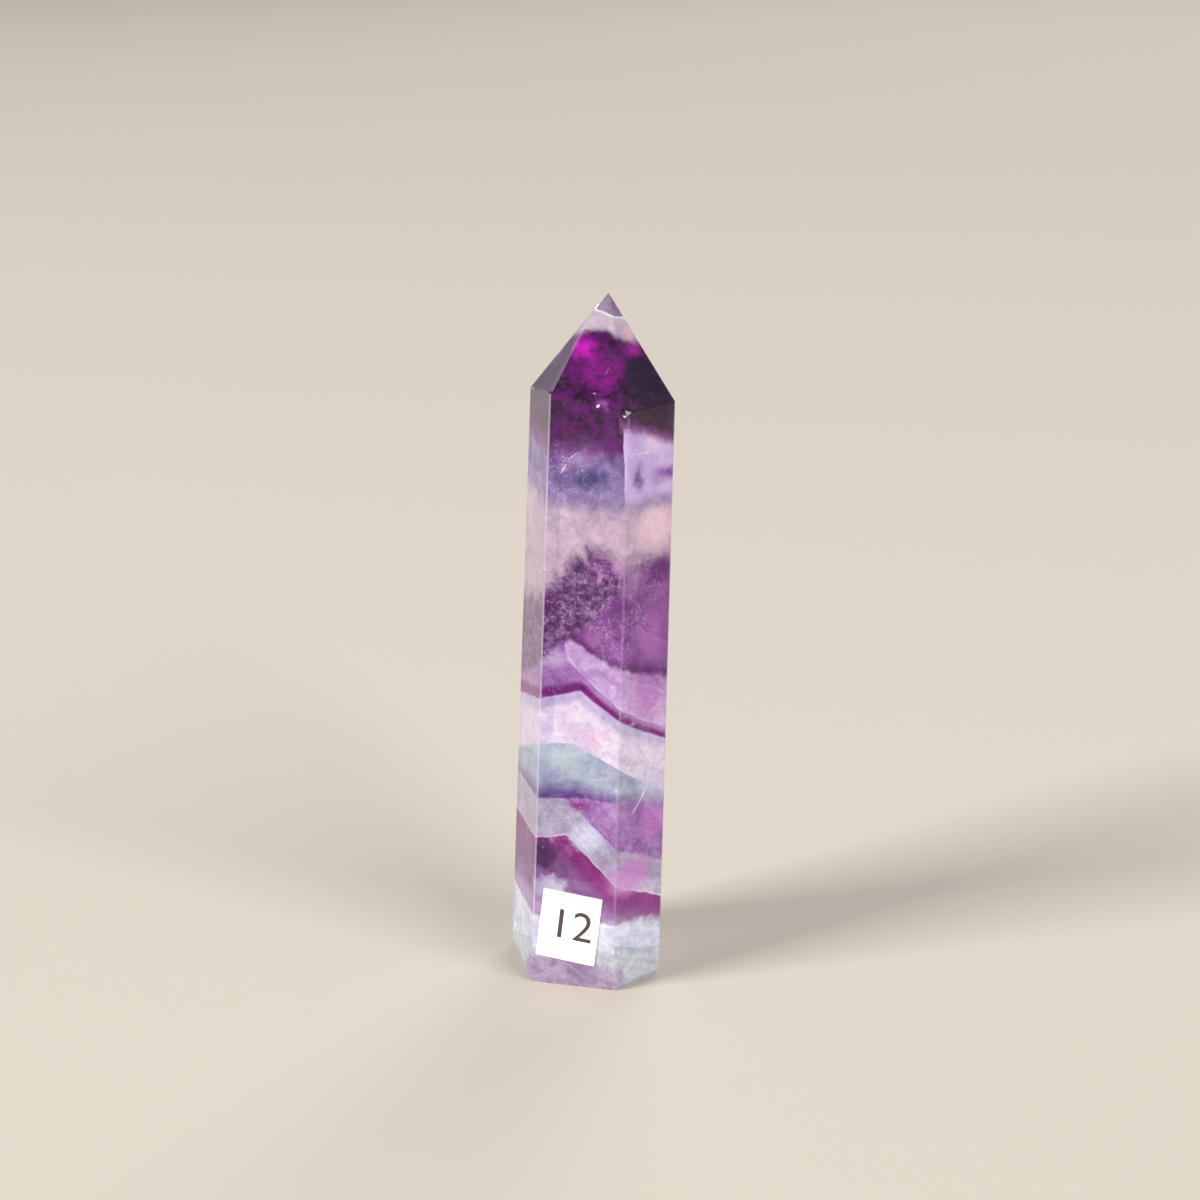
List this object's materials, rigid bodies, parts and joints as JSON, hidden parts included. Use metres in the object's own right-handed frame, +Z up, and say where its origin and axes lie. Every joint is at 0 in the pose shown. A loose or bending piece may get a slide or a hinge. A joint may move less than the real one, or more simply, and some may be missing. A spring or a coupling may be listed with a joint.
{
  "type": "fluorite point",
  "caption": "Polished fluorite tower with flat sides and a faceted tip, clear lilac with folded purple bands, with a small white paper tag stuck low on its front face.",
  "frame": {"origin": "middle of the object's plan, on the floor", "axes": "+Z up along the tower, -Y out of the front face that carries the paper tag"},
  "size_m": [0.0208, 0.0178, 0.0851],
  "materials": {
    "crystal": "polished",
    "paper": "matte"
  },
  "bodies": {
    "root": {"crystal": "crystal", "paper_tag": "paper"}
  },
  "joints": []
}
